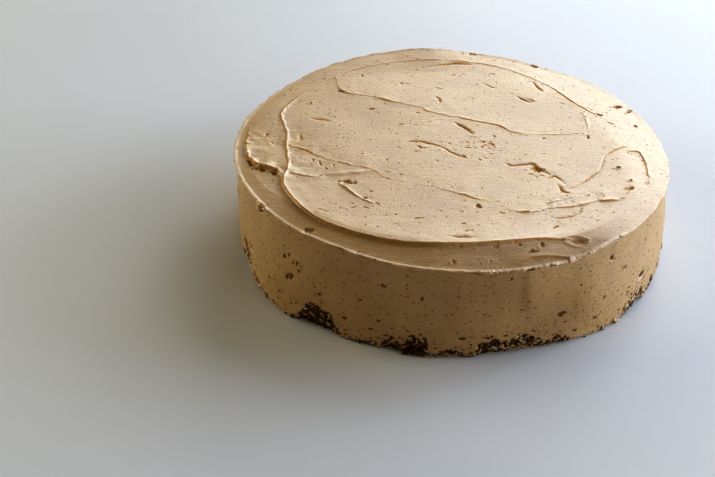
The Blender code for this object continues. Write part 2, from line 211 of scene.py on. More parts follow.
loose = LOOSE_CRUMB[2] * ease(1.25 - spread) * ease((hem - 1.5 * mm - z) / (3 * mm))
radius = sponge_radius(angle, z) + bare * (CRUMB_DEPTH * (lumps - 0.15) + loose * (0.8 + 0.4 * lumps))
radius = np.where(bare > 0, radius, sponge_radius(angle, z))
for step, (drop, inward) in enumerate(((3.5, 0), (1.0, 1.1), (0, 3.5)), 2):
    here = row == SPONGE_FOOT_ROWS + step
    radius = np.where(here, sponge_radius(angle, COAT_FULL) - inward * mm, radius)
    on = on_ring(angle, radius, z)
    z = np.where(here, lid(on[:, 0], on[:, 1]) - TOP_COAT - drop * mm, z)
write_points(sponge.data, on_ring(angle, radius, z))
sponge.data.shade_smooth()


class Value:
    """One value in a shader. Python's own signs add the Math nodes."""

    def __init__(self, finish, socket):
        self.finish = finish
        self.socket = socket

    def reckon(self, operation, first, second):
        return self.finish.node("ShaderNodeMath", {"operation": operation}, {0: first, 1: second})

    def __add__(self, other):
        return self.reckon("ADD", self, other)

    def __sub__(self, other):
        return self.reckon("SUBTRACT", self, other)

    def __rsub__(self, other):
        return self.reckon("SUBTRACT", other, self)

    def __mul__(self, other):
        return self.reckon("MULTIPLY", self, other)

    def __truediv__(self, other):
        return self.reckon("DIVIDE", self, other)

    def __pow__(self, other):
        return self.reckon("POWER", self, other)

    __radd__ = __add__
    __rmul__ = __mul__


class Finish:
    """One piece's surface."""

    def __init__(self, name, gloss):
        self.material = bpy.data.materials.new(name)
        self.material.use_nodes = True
        self.tree = self.material.node_tree
        self.shader = self.tree.nodes["Principled BSDF"]
        self.shader.inputs["Specular IOR Level"].default_value = gloss
        self.shader.inputs["Coat Roughness"].default_value = 0.5
        self.shader.inputs["Coat IOR"].default_value = 1.8
        self.shader.inputs["Subsurface Radius"].default_value = (1.0, 0.45, 0.15)
        self.place = self.node("ShaderNodeTexCoord", {}, {}, "Object")

    def node(self, kind, settings, inputs, output=0):
        made = self.tree.nodes.new(kind)
        for key, value in settings.items():
            setattr(made, key, value)
        for key, value in inputs.items():
            self.feed(made.inputs[key], value)
        return Value(self, made.outputs[output])

    def feed(self, socket, value):
        if isinstance(value, Value):
            self.tree.links.new(value.socket, socket)
        else:
            socket.default_value = value

    def attribute(self, name):
        return self.node("ShaderNodeAttribute", {"attribute_name": name}, {}, "Fac")

    def speckle(self, size, detail=2.0, stretch=None, roughness=0.5):
        """Cloudy noise, 0 to 1, in lumps of about a size in metres."""
        place = self.place
        if stretch:
            place = self.node("ShaderNodeMapping", {}, {"Vector": place, **stretch})
        return self.node("ShaderNodeTexNoise", {}, {"Vector": place, "Scale": 1 / size, "Detail": detail,
                                                    "Roughness": roughness})

    def dots(self, apart, smallest, largest, place=None):
        """1 in the middle of scattered dots, 0 between them. Large dots are few."""
        inputs = {"Vector": place or self.place, "Scale": 1 / apart, "Randomness": 1.0}
        cells = self.node("ShaderNodeTexVoronoi", {}, inputs, "Distance")
        chance = self.node("ShaderNodeTexVoronoi", {}, inputs, "Color")
        chance = self.node("ShaderNodeSeparateColor", {}, {0: chance}, 0)
        reach = chance ** 3 * ((largest - smallest) / apart) + smallest / apart
        settings = {"operation": "SUBTRACT", "use_clamp": True}
        return self.node("ShaderNodeMath", settings, {0: 1, 1: cells / reach})

    def ruffled(self, size, amount, scale=(1, 1, 1)):
        """Places pushed about a little, so that dots laid out by them have uneven outlines."""
        lumps = self.node("ShaderNodeTexNoise", {}, {"Vector": self.place, "Scale": 1 / size}, "Color")
        push = self.node("ShaderNodeVectorMath", {"operation": "MULTIPLY_ADD"},
                         {0: lumps, 1: (amount,) * 3, 2: self.place})
        return self.node("ShaderNodeMapping", {}, {"Vector": push, "Scale": scale})

    def between(self, low, high, value):
        """0 below low, 1 above high."""
        return self.node("ShaderNodeMapRange", {"interpolation_type": "SMOOTHSTEP"},
                         {"Value": value, "From Min": low, "From Max": high})

    def blend(self, share, first, second):
        return self.node("ShaderNodeMix", {"data_type": "RGBA"}, {0: share, 6: first, 7: second}, 2)

    def finish(self, piece, colour, roughness, height, depth, sheen=0.0):
        self.feed(self.shader.inputs["Base Color"], colour)
        self.feed(self.shader.inputs["Roughness"], roughness)
        self.feed(self.shader.inputs["Coat Weight"], sheen)
        bump = self.node("ShaderNodeBump", {}, {"Height": height, "Distance": depth, "Strength": 1.0})
        self.feed(self.shader.inputs["Normal"], bump)
        piece.data.materials.append(self.material)


SPONGE_DARK = (0.020, 0.006, 0.001, 1)
SPONGE_BROWN = (0.150, 0.050, 0.012, 1)
crumb_finish = Finish("dark_sponge", 0.08)
open_crumb = crumb_finish.speckle(1.6 * mm, 5, roughness=0.65)
cells = crumb_finish.dots(1.3 * mm, 0.2 * mm, 0.9 * mm)
colour = crumb_finish.blend(crumb_finish.between(0.35, 0.7, open_crumb), SPONGE_DARK, SPONGE_BROWN)
crumb_finish.finish(sponge, colour, 0.8 + 0.15 * open_crumb, open_crumb - 0.8 * cells, 0.9 * mm)


# The side coat: buttercream scraped round the side with a long blade, up to a torn lip at the rim. It is
# thin at the foot, where crumbs have come up into it, and its lower edge is ragged.
# The rim: angle, then its radius and height in millimetres
RIM = (
    (195, 115.3, 55.6), (207, 116.0, 56.5), (215, 116.0, 56.3), (222, 116.3, 55.4),
    (231, 115.8, 54.2), (240, 115.5, 54.4), (250, 115.6, 52.7), (260, 115.6, 51.4),
    (270, 115.8, 51.2), (280, 115.6, 49.5), (290, 115.6, 49.4), (299, 115.8, 47.7),
    (308, 115.2, 50.3), (319, 114.8, 49.2), (333, 113.8, 48.6), (350, 113.4, 46.8),
    (8, 113.2, 45.8), (28, 113.4, 46.6), (44, 113.8, 47.6), (58, 113.2, 47.7),
    (72, 113.2, 49.4), (84, 113.2, 50.6), (92, 113.4, 52.6), (98, 113.6, 53.6),
    (106, 113.6, 53.2), (118, 113.8, 53.4), (130, 113.8, 53.0), (142, 113.2, 52.4),
    (155, 113.2, 53.0), (168, 113.6, 54.0), (181, 114.4, 54.8),
)
LIP_OVERHANG = 0.9 * mm
LIP_THICK = 1.0 * mm
SIDE_COLUMNS = 1280
HEM_ROWS = 26
WALL_ROWS = 34
EDGE_ROWS = 4
INNER_ROWS = 5
HEM_BAND = 13 * mm  # the finely made band above the hem
RIDGE_LEVEL = 24.2 * mm  # the faint ridge that the blade left along the front
RIDGE_HEIGHT = 0.2 * mm
FOLD_ANGLE = 288.2  # the upright fold where the blade came off
FOLD_HEIGHT = 0.8 * mm
TORN_EDGE = 0.45 * mm  # how far the torn edge above the bare patches stands out
PIT_SPREAD = 1.25
# Pits in the side: (angle, height, half width, half height, depth), in millimetres
SIDE_PITS = (
    (224.6, 34.5, 0.9, 0.7, 0.7), (226.2, 36.3, 0.9, 0.8, 0.7), (227.8, 33.6, 0.8, 1.1, 0.6),
    (228.9, 34.4, 0.7, 0.6, 0.5), (226.5, 24.6, 1.7, 1.7, 0.8), (229.6, 30.4, 0.6, 0.6, 0.5),
    (237.0, 37.8, 0.5, 0.5, 0.4), (235.4, 21.4, 1.2, 0.6, 0.6), (253.0, 37.8, 1.8, 0.6, 0.5),
    (262.4, 34.0, 0.5, 0.9, 0.5), (252.0, 16.5, 0.9, 0.6, 0.5), (310.8, 40.4, 1.3, 0.7, 0.7),
    (324.4, 16.4, 2.3, 1.1, 1.6), (296.6, 18.0, 1.6, 1.0, 0.7), (308.0, 20.6, 1.4, 0.6, 0.4),
    (205.0, 16.0, 2.6, 1.4, 1.8), (247.2, 26.8, 0.6, 0.5, 0.4), (316.0, 30.2, 0.7, 0.5, 0.5),
    (301.0, 33.0, 0.6, 0.5, 0.4), (283.0, 44.6, 0.5, 0.8, 0.4), (272.0, 11.6, 1.2, 0.8, 0.7),
    (214.0, 39.4, 0.6, 0.6, 0.5), (219.5, 22.0, 0.8, 0.5, 0.5), (243.0, 12.0, 1.2, 0.9, 0.8),
)


def side_radius(angle, z):
    """The coat's outer side as the blade left it."""
    foot = SIDE_RADIUS + around(SIDE_WAVES, angle) * mm
    rim = around(RIM, angle) * mm - LIP_OVERHANG
    share = ease((z - FOOT_TOP) / (TOP_LEVEL - FOOT_TOP))
    on = on_ring(angle, foot, z)
    wander = [noise.noise(Vector((x / 18, (y + 0.3 * h) / 18, h / 25)) / mm) for x, y, h in on]
    return foot * (1 - share) + rim * share + SIDE_ROLL * np.array(wander)


rows = HEM_ROWS + WALL_ROWS + EDGE_ROWS + INNER_ROWS
bm = bmesh.new()
bmesh.ops.create_circle(bm, cap_ends=False, segments=SIDE_COLUMNS, radius=SIDE_RADIUS)
lowest = loop = list(bm.edges)
for row in range(1, rows):
    loop = grow(bm, loop, row * mm)
bmesh.ops.bridge_loops(bm, edges=lowest + loop)
bmesh.ops.recalc_face_normals(bm, faces=bm.faces)
side = stand_for(bm, "icing_side", "icing")
points = read_points(side.data)
angle = angles_of(points)
row = np.round(points[:, 2] / mm)
hem = hem_height(angle)
rim_z = around(RIM, angle, 2) * mm
low = hem + 0.7 * mm
share = np.clip(row / HEM_ROWS, 0, 1)
z = low + HEM_BAND * share
upper = np.clip((row - HEM_ROWS) / (WALL_ROWS - 1), 0, 1)
z = z + (rim_z - 0.8 * mm - low - HEM_BAND) * upper
surface = on_ring(angle, SIDE_RADIUS, z)
blade = surface * (1, 1, 0) / (6, 6, 1) + surface * (0, 0, 1)
radius = side_radius(angle, z)
radius += 0.10 * mm * mottle(blade, 2.6 * mm, 21) + 0.05 * mm * mottle(blade, 1.1 * mm, 22)
radius += 0.10 * mm * mottle(surface, 5 * mm, 23) + 0.045 * mm * mottle(surface, 1.4 * mm, 24)
bare = bare_height(angle) * mm
near_hem = np.exp(-(z - hem) / (3 * mm)) * ease(bare / (5 * mm) + 0.45)
radius += near_hem * (0.5 * mm * mottle(surface, 2.4 * mm, 25) + 0.35 * mm * mottle(surface, 1.1 * mm, 26))
thin = (1.35 * bare + 0.5 * mm - z) / (3.2 * mm) + 0.75 * mottle(surface, 2.2 * mm, 28)
crumb = ease(0.5 + 1.1 * (thin + 0.9 * mottle(surface, 1.1 * mm, 29) - 0.3)) * ease(bare / (2 * mm))
radius -= crumb * (0.45 * mm - 0.45 * mm * mottle(surface, 1.2 * mm, 30))
ridge = ease((angle - 261) / 4) * ease((298 - angle) / 6)
wander = RIDGE_LEVEL - 0.6 * mm * np.sin(np.radians(angle * 4))
radius += RIDGE_HEIGHT * ridge * np.exp(-(((z - wander) / (0.45 * mm)) ** 2))
fold = (angle - FOLD_ANGLE - 0.8 * np.sin(z / (9 * mm))) / 1.5
radius += FOLD_HEIGHT * np.exp(-(np.where(fold > 0, fold / 3.4, fold) ** 2)) * ease((z - 14 * mm) / (14 * mm))
torn_edge = ease(bare / (3 * mm)) * np.clip(0.7 + mottle(surface, 2.0 * mm, 32), 0, 2)
radius += TORN_EDGE * torn_edge * np.exp(-(((z - low - 0.4 * mm) / (0.7 * mm)) ** 2))
# side_pit_shade: painted shade in the side's pits
side_pit_shade = np.zeros(len(points))
for at, high, wide, tall, depth in SIDE_PITS:
    across = np.radians((angle - at + 180) % 360 - 180) * SIDE_RADIUS / (PIT_SPREAD * wide * mm)
    up = (z - high * mm) / (PIT_SPREAD * tall * mm)
    bend = across * across + up * up + 1.8 * mottle(surface, 1.3 * mm, 27) * (abs(across) < 3)
    pit = np.exp(-np.maximum(bend, 0) ** 1.5)
    radius -= depth * mm * pit
    side_pit_shade = np.maximum(side_pit_shade, pit)
outer = row < HEM_ROWS + WALL_ROWS
inner = sponge_radius(angle, hem) + 0.25 * mm
edge = rows - row  # counts back from the lowest outer row, round the hem and up the inner face
thick = radius - inner
bend = np.clip(edge / (EDGE_ROWS + 1), 0, 1) * pi
edge_radius = inner + thick * (0.5 + 0.5 * np.cos(bend))
edge_z = low - 0.7 * mm * np.sin(bend)
up_inside = np.clip((edge - EDGE_ROWS) / INNER_ROWS, 0, 1)
inner_z = low + (rim_z - 6 * mm - low) * up_inside
inner_radius = sponge_radius(angle, inner_z) + 0.25 * mm
z = np.where(outer, z, np.where(edge <= EDGE_ROWS, edge_z, inner_z))
radius = np.where(outer, radius, np.where(edge <= EDGE_ROWS, edge_radius, inner_radius))
write_points(side.data, on_ring(angle, radius, np.maximum(z, 0.25 * mm)))
side.data.shade_smooth()
# The pits' painted shade goes to the shader as hollow shade, together with where the crumb shows
for name, share in (("hollow_shade", side_pit_shade), ("crumb", crumb)):
    layer = side.data.attributes.new(name, "FLOAT", "POINT")
    layer.data.foreach_set("value", (share * outer).astype(np.float32))

ICING = (0.490, 0.288, 0.080, 1)
ICING_DEEP = (0.380, 0.200, 0.040, 1)
ICING_PALE = (0.545, 0.335, 0.105, 1)
# Painted shade: the warm, darker colour of the shaded hollows on the top
TOP_HOLLOW_SHADE = (0.600, 0.300, 0.050, 1)
# Painted shade: the dark inside of popped bubbles and pinholes, which the bump only dents
PORE_SHADE = (0.270, 0.120, 0.022, 1)
CRUMB_SPECK = (0.075, 0.025, 0.005, 1)
# Painted shade: a darker brown in patches of the deepest hollows
DEEP_HOLLOW_SHADE = (0.240, 0.095, 0.012, 1)
# Painted shade: the dark brown of the shaded pits in the side
SIDE_PIT_SHADE = (0.130, 0.050, 0.008, 1)


def icing_finish(name, grain, pores, hollow_shade_colour):
    """Spread buttercream: even in colour, with fine grain and popped air bubbles. Painted shade darkens the
    bubbles' insides and the hollows, which the last value returned marks for less sheen.
    """
    coat = Finish(name, 0.3)
    coat.shader.inputs["Subsurface Weight"].default_value = 0.3
    coat.shader.inputs["Subsurface Scale"].default_value = 3 * mm
    cloud = coat.speckle(26 * mm, 3)
    fine = coat.speckle(grain, 4, roughness=0.75)
    # hollow_shade: painted shade, a warmer, darker colour in the hollows (step feet, scored lines, dents and
    # the side's pits), broken up by the grain
    hollow_shade = coat.between(0.25, 0.6, coat.attribute("hollow_shade") + 0.6 * (fine - 0.5))
    deepest = coat.between(0.7, 1.0, coat.attribute("hollow_shade"))
    bubbles = pores(coat)
    # pore_shade_mask: painted shade inside the bubbles
    pore_shade_mask = coat.between(0.05, 0.4, bubbles)
    colour = coat.blend(coat.between(0.3, 0.7, cloud), ICING_DEEP, ICING_PALE)
    colour = coat.blend(0.55, colour, ICING)
    colour = coat.blend(coat.between(0.40, 0.62, fine) * 0.55, colour, ICING_DEEP)
    colour = coat.blend(pore_shade_mask * 0.9, colour, PORE_SHADE)
    # In patches of the deepest hollows the painted shade is darker still
    patches = coat.between(0.42, 0.6, coat.speckle(1.6 * mm, 3))
    deep = coat.blend(patches * deepest, hollow_shade_colour, DEEP_HOLLOW_SHADE)
    colour = coat.blend(hollow_shade * 0.9, colour, deep)
    return coat, colour, fine, bubbles, cloud, hollow_shade + pore_shade_mask - hollow_shade * pore_shade_mask


def side_pores(coat):
    """Pinholes all over, mostly longer than they are high, and fewer larger ones."""
    pinholes = coat.dots(2.4 * mm, 0.4 * mm, 1.0 * mm, coat.ruffled(1.2 * mm, 2 * mm, (0.8, 0.8, 1.4)))
    larger = coat.dots(5.2 * mm, 0.45 * mm, 1.35 * mm, coat.ruffled(1.0 * mm, 3 * mm, (0.75, 0.75, 1.3)))
    return pinholes + larger


coat, colour, fine, bubbles, cloud, dull_and_shaded = icing_finish("side_buttercream", 0.8 * mm, side_pores, SIDE_PIT_SHADE)
height = coat.node("ShaderNodeSeparateXYZ", {}, {0: coat.place}, 2)
low_down = 1 - coat.between(2 * mm, 24 * mm, height)
patchy = coat.between(0.3, 0.7, coat.speckle(8 * mm) * 0.6 + low_down * 0.55)
speck_places = coat.ruffled(1.0 * mm, 3.5 * mm, (0.8, 0.8, 1.5))
specks = coat.dots(2.7 * mm, 0.42 * mm, 1.5 * mm, speck_places) * patchy
speckled = coat.between(0.1, 0.4, specks)
colour = coat.blend(speckled, colour, CRUMB_SPECK)
open_crumb = coat.between(0.35, 0.65, coat.attribute("crumb") + 1.0 * (fine - 0.5))
crumb_colour = coat.blend(coat.between(0.4, 0.65, coat.speckle(1.2 * mm, 3)), SPONGE_DARK, SPONGE_BROWN)
colour = coat.blend(open_crumb, colour, crumb_colour)
streaks = coat.speckle(2.6 * mm, 3, {"Scale": (0.45, 0.45, 1.3)}, 0.6)
# Less sheen where crumb and specks show, and where pits and pores carry painted shade
dull_and_shaded = 1 - (1 - open_crumb) * (1 - speckled) * (1 - dull_and_shaded)
relief = 1.5 * fine + 1.2 * streaks - bubbles - 0.8 * open_crumb
coat.finish(side, colour, 0.5 + 0.12 * cloud + 0.3 * dull_and_shaded, relief, 0.5 * mm, 0.7 * (1 - dull_and_shaded))


# The top coat: buttercream pushed about with a palette knife, which left raised rounds with thin bright
# edges, drag marks and burst bubbles, and a torn lip that hangs a little over the side.
LIP_IN = 2.3 * mm
LIP_HEIGHT = 0.25 * mm
LIP_RAGGED = 0.6 * mm
LIP_CREST = 0.4  # how far the lip's crest rises over the rim, in millimetres, where LIP_RISE is 1
# The lip, from its inner foot over the crest and under to the coat's lower face: how far along from the
# inner foot to the outer edge, how high on the crest, and how far down its outer face
LIP = ((0.2, 0.12, 0), (0.35, 0.3, 0), (0.5, 0.5, 0), (0.64, 0.7, 0), (0.78, 0.9, 0), (0.9, 1.0, 0),
       (0.97, 0.88, 0.08), (1.0, 0.45, 0.32), (0.99, 0.08, 0.6), (0.94, 0, 0.85), (0.82, 0, 1.0),
       (0.45, 0, 0.9))
# How strong the lip is, by angle
LIP_RISE = (
    (200, 0.3), (222, 0.3), (240, 0.6), (255, 1.0), (272, 1.2), (292, 1.3), (305, 1.0), (335, 0.4),
    (0, 0.2),
    (60, 0.3), (100, 0.4), (140, 0.4), (180, 0.6),
)
# How wide the band that slopes down to the rim is: angle, and millimetres
BORDER = (
    (200, 8), (222, 16), (240, 19), (258, 19), (275, 18), (295, 17), (312, 12), (330, 14),
    (0, 26), (45, 30), (90, 28), (140, 20), (175, 10),
)
BORDER_BEND = 1.2
DRIP = (213.2, 1.6, 51.5 * mm)  # angle, spread in degrees, lowest point
ROLL_SCALE = 42 * mm
ROLL_HEIGHT = 0.45 * mm
# The knife's steps: how torn the edge is, then points (x, y, step) in millimetres. The icing on the left
# of each line, looking along it, stands higher by the step.
SWEEPS = (
    (0.15, ((-88, 43, 0.05), (-93, 27, 0.1), (-88, 5, 0.1), (-87, -10, 0.15), (-84, -30, 0.3),
            (-85, -46, 1.4), (-81, -59, 1.8), (-68.5, -77.5, 1.9), (-50.5, -90, 1.9),
            (-26, -98, 1.9), (0, -98.5, 1.9), (20, -96, 1.7), (38, -92, 1.3), (52, -90, 0.5))),
    (0.55, ((-66, 76, 0.09), (-64, 64, 0.22), (-61, 57.5, 0.43), (-55, 54.5, 0.25), (-46, 52.5, 0.28),
            (-38, 49, 0.43), (-25, 44, 0.19), (-15.5, 40, 0.22), (-12, 36, 0.34), (10, 28, 0.31),
            (26, 22.5, 0.25), (32, 16, 0.22), (42, 13.5, 0.12), (58, 14, 0.28), (70, 17, 0.22),
            (73, 24, 0.06))),
    (0.50, ((-69, 72, 0.08), (-57, 83.5, 0.19), (-40, 93, 0.25), (-20, 99, 0.22), (5, 100.5, 0.25),
            (26, 97, 0.17), (44, 86, 0.17), (58, 71, 0.22), (70, 51.5, 0.28), (81, 38, 0.11))),
    (0.70, ((-85, -9, 0.21), (-78, -12, 0.45), (-67, -20, 0.28), (-54, -26, 0.35), (-40, -31, 0.21),
            (-34, -38, 0.1), (-14, -44.5, 0.14), (0, -50, 0.35), (14, -57, 0.14))),
    (0.70, ((30, -67, 0.18), (38, -67, 0.63), (47, -63, 0.45), (60, -60, 0.36), (70, -54.5, 0.54),
            (82, -51.5, 0.54), (88, -42, 0.18))),
    (0.60, ((93, -1, 0.2), (99, -2, 0.5), (100.5, -18, 0.5), (99.5, -34, 0.2))),
    (0.90, ((-109, 9, 0.2), (-108.3, -8, 0.9), (-107, -16, 1.3), (-104.5, -24, 1.7), (-100.8, -30, 2.0),
            (-95.4, -32.8, 2.0), (-90, -35, 1.9), (-87, -40.5, 1.4), (-85.4, -48, 0.4))),
    (0.10, ((24, -111, 0.2), (28, -108, 0.7), (34, -104.4, 0.9), (43, -101.6, 1.0), (52, -100.4, 0.9),
            (63, -98.5, 0.2))),
)
CLIFF = 0.45 * mm
RUN_OUT = 16 * mm
LIP_HIGH = 0.22 * mm
LIP_WIDTH = 0.7 * mm
FOOT_SHARE = 0.3  # of the step, in the soft foot below the steep part
FOOT_WIDTH = 2.2 * mm
# Thin lines: width in millimetres, then points (x, y, height) in millimetres. A height below 0 is a score.
CREASES = (
    (0.65, ((-84, 52, 0.1), (-88, 43, 0.3), (-93, 27, 0.4), (-88, 5, 0.4), (-87, -10, 0.35),
    (-84, -30, 0.4),
            (-85, -44, 0.2))),
    (0.6, ((57, -45, -0.1), (66, -36, -0.35), (76, -22, -0.3), (80, -8, -0.2), (88, 0, -0.4),
    (93, 3, -0.3))),
    (0.6, ((43, -60, 0.1), (50, -56, 0.4), (60, -50, 0.1))),
    (1.6, ((-62, -37, 0.2), (-50, -34.5, 0.7), (-41, -31.5, 0.3))),
    (0.7, ((-83, -38, 0.1), (-76, -40, 0.4), (-70, -40.5, 0.1))),
    (0.7, ((-57, -46, 0.2), (-53, -51, 0.6), (-47, -58, 0.4), (-40, -63, 0.4), (-36, -65, 0.1))),
    (0.6, ((74.5, 22, 0.1), (74.5, 30, 0.3), (74, 40, 0.1))),
    (0.7, ((48, 77, -0.2), (50, 70, -0.6), (53, 64, -0.2))),
    (0.7, ((18, 74, -0.1), (22, 70, -0.4), (26, 67, -0.1))),
    (0.8, ((2, 24, -0.2), (6, 20, -0.8), (11, 12, -0.3))),
    (0.6, ((4, 21, -0.2), (8, 18, -0.5), (10, 15, -0.2))),
    (0.7, ((28, -20, -0.2), (32, -21.5, -0.8), (41, -19, -0.8), (43, -22, -0.9), (49, -29, -0.3))),
    (0.7, ((47, -34, -0.2), (52, -31, -0.5), (56, -38, -0.2))),
    (0.8, ((53, -40, -0.2), (54, -45, -0.9), (57, -47.5, -0.3))),
    (0.7, ((-24, 0, -0.2), (-20, 1, -0.7), (-12, -1, -0.6), (-6, -4, -0.4), (0, -10, -0.5),
    (8, -16, -0.2))),
    (0.7, ((-8, 54, -0.2), (-6, 51, -0.5), (-7, 44, -0.1))),
    (0.8, ((-76, 22.5, -0.2), (-71, 22, -0.6), (-67, 21, -0.2))),
    (0.7, ((-81, 4, -0.1), (-80.5, 0, -0.5), (-81, -4, -0.1))),
    (0.8, ((-3, -92.5, -0.1), (3, -92.8, -0.6), (10, -92.4, -0.1))),
    (0.9, ((-12, 92, -0.1), (2, 97, -0.7), (7, 97.5, -0.7), (14, 97, -0.1))),
    (0.6, ((47, -72, -0.1), (54, -71, -0.5), (62, -65, -0.2))),
    (0.7, ((38, 57, -0.2), (41, 54, -0.8), (45, 50, -0.2))),
    (0.6, ((43, 55, -0.2), (46, 53, -0.5), (47, 51, -0.1))),
)
# Dents: how torn, then (x, y, half length, half width, turn in degrees, depth) for each, in millimetres
DENTS = (
    (0.15, ((57.2, -90, 3.7, 2.1, 8, 0.8), (85, -20, 1.3, 1.0, 10, 0.8),
            (90, -33, 0.7, 0.8, 0, 0.8), (67, -49, 0.5, 0.6, 0, 0.6), (-78, 41.5, 0.8, 0.8, 0, 0.8))),
    (0.60, ((88, -41, 2.4, 1.2, 20, 1.0), (-53, -44, 3.0, 1.6, -10, 1.5), (-44, 37, 1.6, 0.8, 10, 0.6),
            (-27, 20, 1.5, 0.6, 30, 0.5), (-18.5, 34, 1.0, 0.5, 20, 0.5), (17, 3, 1.2, 0.6, 60, 0.5),
            (21, 1, 1.6, 0.5, -35, 0.6), (16, -2, 1.3, 0.5, 50, 0.5), (23, 10, 1.1, 0.4, -40, 0.5),
            (-17, -5, 1.6, 0.8, -50, 0.5),
            (6, -13, 1.2, 0.6, -40, 0.5), (14, -16, 1.0, 0.5, -60, 0.4), (48, -8, 1.6, 0.4, 20, 0.4),
            (-44, -59, 1.0, 0.7, 0, 0.6), (-38, -64, 1.5, 0.6, -20, 0.6), (73, 12, 0.8, 1.6, 10, 0.8),
            (49, 9, 0.7, 0.6, 0, 0.6), (-99, 3, 0.8, 1.0, 0, 0.6), (-95, -6, 1.2, 0.5, -60, 0.5),
            (-51, 78, 0.8, 1.2, 30, 0.4), (-28, 70, 0.8, 0.8, 0, 0.5), (-47, -15, 0.6, 0.5, 0, 0.5),
            (-34, -20, 0.6, 0.5, 0, 0.6), (-8, -19, 0.6, 0.5, 0, 0.4), (25, 86, 1.4, 0.7, 0, 0.3),
            (-58, 2, 0.8, 0.5, 40, 0.4), (101, 29, 0.8, 1.2, 20, 0.6), (-62, 57, 2.0, 1.2, -20, 0.8),
            (48, -80, 1.6, 0.5, 40, 0.5), (4, -80, 1.2, 0.4, 0, 0.4), (82, 39, 1.6, 1.0, -30, 0.9))),
    (1.00, ((44, -25, 3.2, 1.8, -35, 1.1), (12, -63, 1.8, 1.2, -20, 0.9), (29.3, -95.8, 1.6, 0.7, -20, 0.6),
            (36.4, -99.9, 2.2, 0.9, 5, 0.7), (40.5, -95, 0.9, 1.0, -30, 0.6),
            (18.7, -98.5, 1.4, 0.7, 0, 0.5),
            (27, -112, 1.5, 0.9, 20, 0.7), (-1, -109.5, 1.0, 1.1, 0, 0.6), (-70, -88, 1.8, 1.2, -20, 0.9),
            (-103.5, -28.5, 2.4, 1.3, -55, 1.2), (-98, -34.3, 3.2, 1.6, -18, 1.6),
            (-91.5, -37, 2.6, 1.2, -28, 1.2), (52, 99, 3.0, 1.2, -10, 0.9),
            (69, 89, 2.4, 1.0, -30, 0.8), (94, 51, 2.2, 1.2, 30, 1.0), (99, 46, 2.2, 1.1, 60, 1.0),
            (14, 110, 1.6, 0.9, 0, 0.7), (-72, -24, 0.5, 1.4, 20, 0.4), (-68, -27, 0.4, 1.6, 15, 0.4),
            (-65, -31, 0.4, 1.4, 15, 0.4), (-61, -29, 0.4, 1.2, 10, 0.35))),
)
# Zones of short drag marks: middle, half size, how many and their turn in degrees, in millimetres
DRAG_ZONES = (
    (6, -2, 24, 12, 26, -24), (20, 0, 9, 6, 12, -30), (46, -28, 16, 16, 12, -14), (-72, 12, 12, 30, 8, -8),
    (-30, 12, 24, 24, 9, -14), (4, 72, 52, 16, 10, -20), (76, 42, 16, 20, 6, -35),
    (-8, -76, 56, 14, 16, -4),
    (-40, -40, 26, 16, 8, -20), (64, -66, 22, 12, 6, 12), (-4, -104, 50, 6, 8, 0), (92, -22, 8, 22, 4, 70),
    (-46, -66, 20, 8, 8, -12),
)
TOP_CELLS = 78
REFINE = ((6.5 * mm, 3 * mm), (1.8 * mm, 1.4 * mm), (0.7 * mm, 0))  # near a line or dent, near the rim


def smooth_line(points, step):
    """Points every step along a curve through the given ones, and the curve's direction at each."""
    knots = np.array(points, float) * mm
    ends = np.vstack([2 * knots[0] - knots[1], knots, 2 * knots[-1] - knots[-2]])
    share = np.linspace(0, 1, 24, endpoint=False)[:, None]
    runs = [
        0.5 * (2 * b + (c - a) * share)
        + 0.5 * (2 * a - 5 * b + 4 * c - d) * share**2
        + 0.5 * (3 * b - a - 3 * c + d) * share**3
        for a, b, c, d in zip(ends, ends[1:], ends[2:], ends[3:])
    ]
    fine = np.vstack([*runs, ends[-2]])
    length = np.r_[0, np.cumsum(np.hypot(*np.diff(fine[:, :2], axis=0).T))]
    wanted = np.linspace(0, length[-1], max(3, round(length[-1] / step) + 1))
    line = np.column_stack([np.interp(wanted, length, fine[:, i]) for i in range(3)])
    along = np.gradient(line[:, :2], axis=0)
    return line, along / np.hypot(*along.T)[:, None]


def round_about(line, spots, reach):
    """Which spots lie within reach of the line's bounds."""
    low, high = line[:, :2].min(0) - reach, line[:, :2].max(0) + reach
    return np.flatnonzero(((spots > low) & (spots < high)).all(1))


def beside(line, along, spots, step=4000):
    """Each spot's distance from a line, + on its left, and the line's height there."""
    distance = np.empty(len(spots))
    height = np.empty(len(spots))
    for start in range(0, len(spots), step):
        part = slice(start, start + step)
        apart = spots[part, None, :] - line[None, :, :2]
        near = (apart[..., 0] ** 2 + apart[..., 1] ** 2).argmin(1)
        gap = apart[np.arange(len(near)), near]
        left = along[near, 0] * gap[:, 1] - along[near, 1] * gap[:, 0]
        past_end = (near == 0) | (near == len(line) - 1)
        distance[part] = np.where(past_end, np.copysign(np.hypot(*gap.T), left), left)
        height[part] = line[near, 2]
    return distance, height


SWEEP_LINES = [(torn, *smooth_line(points, 0.7 * mm)) for torn, points in SWEEPS]
CREASE_LINES = [(width * mm, *smooth_line(points, 0.7 * mm)) for width, points in CREASES]


def drag_marks():
    """Short marks scattered through the zones, as dents."""
    chance = np.random.default_rng(17)
    marks = []
    for middle_x, middle_y, half_x, half_y, count, turn in DRAG_ZONES:
        for _ in range(count):
            x, y = middle_x + half_x * chance.normal(0, 0.5), middle_y + half_y * chance.normal(0, 0.5)
            long = 0.5 + 1.6 * chance.random() ** 2
            marks.append((x, y, long, 0.28 + 0.14 * chance.random(), turn + chance.normal(0, 14),
                          0.18 + 0.25 * chance.random()))
    return tuple(marks)


ALL_DENTS = DENTS + ((0.5, drag_marks()),)


